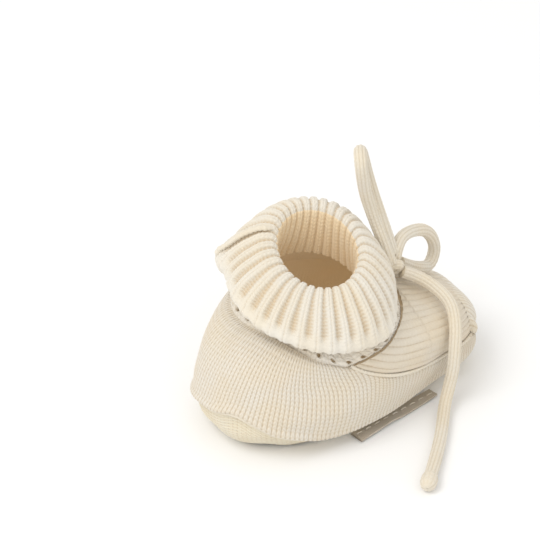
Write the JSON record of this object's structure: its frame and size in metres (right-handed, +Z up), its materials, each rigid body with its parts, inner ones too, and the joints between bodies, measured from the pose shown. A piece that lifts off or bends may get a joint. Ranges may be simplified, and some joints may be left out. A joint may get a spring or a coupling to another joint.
{
  "type": "baby bootie",
  "caption": "Soft knitted baby bootie with a turned-down ribbed cuff, ankle drawstring tied in a bow, ridged instep and a small blank side label.",
  "frame": {"origin": "on the floor, at the middle of the foot's length and width", "axes": "+Z up, toe to -Y, near side with the label to -X"},
  "size_m": [0.0958, 0.1008, 0.084],
  "materials": {
    "sole_knit": "plain cotton knit",
    "stockinette_knit": "fine cotton stockinette",
    "ridge_knit": "cotton knit with lengthwise ridges",
    "insole_lining": "smooth brushed cotton",
    "rib_knit": "two by two rib in soft cotton",
    "seam_yarn": "linked cotton yarn",
    "knitted_cord": "round knitted cotton cord",
    "woven_label": "plain woven tape, blank",
    "label_thread": "cotton sewing thread"
  },
  "bodies": {
    "bootie": {"sole": "sole_knit", "side_panel": "stockinette_knit", "vamp": "ridge_knit", "toe_band": "stockinette_knit", "insole": "insole_lining", "eyelet_band": "stockinette_knit", "ribbed_cuff": "rib_knit", "sole_seam": "seam_yarn", "vamp_seam_near": "seam_yarn", "vamp_seam_far": "seam_yarn", "cuff_seam": "seam_yarn", "ankle_drawstring": "knitted_cord", "bow_knot": "knitted_cord", "bow_loop_tall": "knitted_cord", "bow_loop_small": "knitted_cord", "tail_near": "knitted_cord", "tail_far": "knitted_cord", "tail_tip_near": "knitted_cord", "tail_tip_far": "knitted_cord"},
    "label": {"side_label": "woven_label", "label_stitches": "label_thread"}
  },
  "joints": [
    {"name": "label_fold", "type": "hinge", "parent": "bootie", "child": "label", "pos_m": [-0.0229, 0.0095, 0.0007], "axis": [-0.0958, 0.9954, 0], "range_deg": [0, 30]}
  ]
}
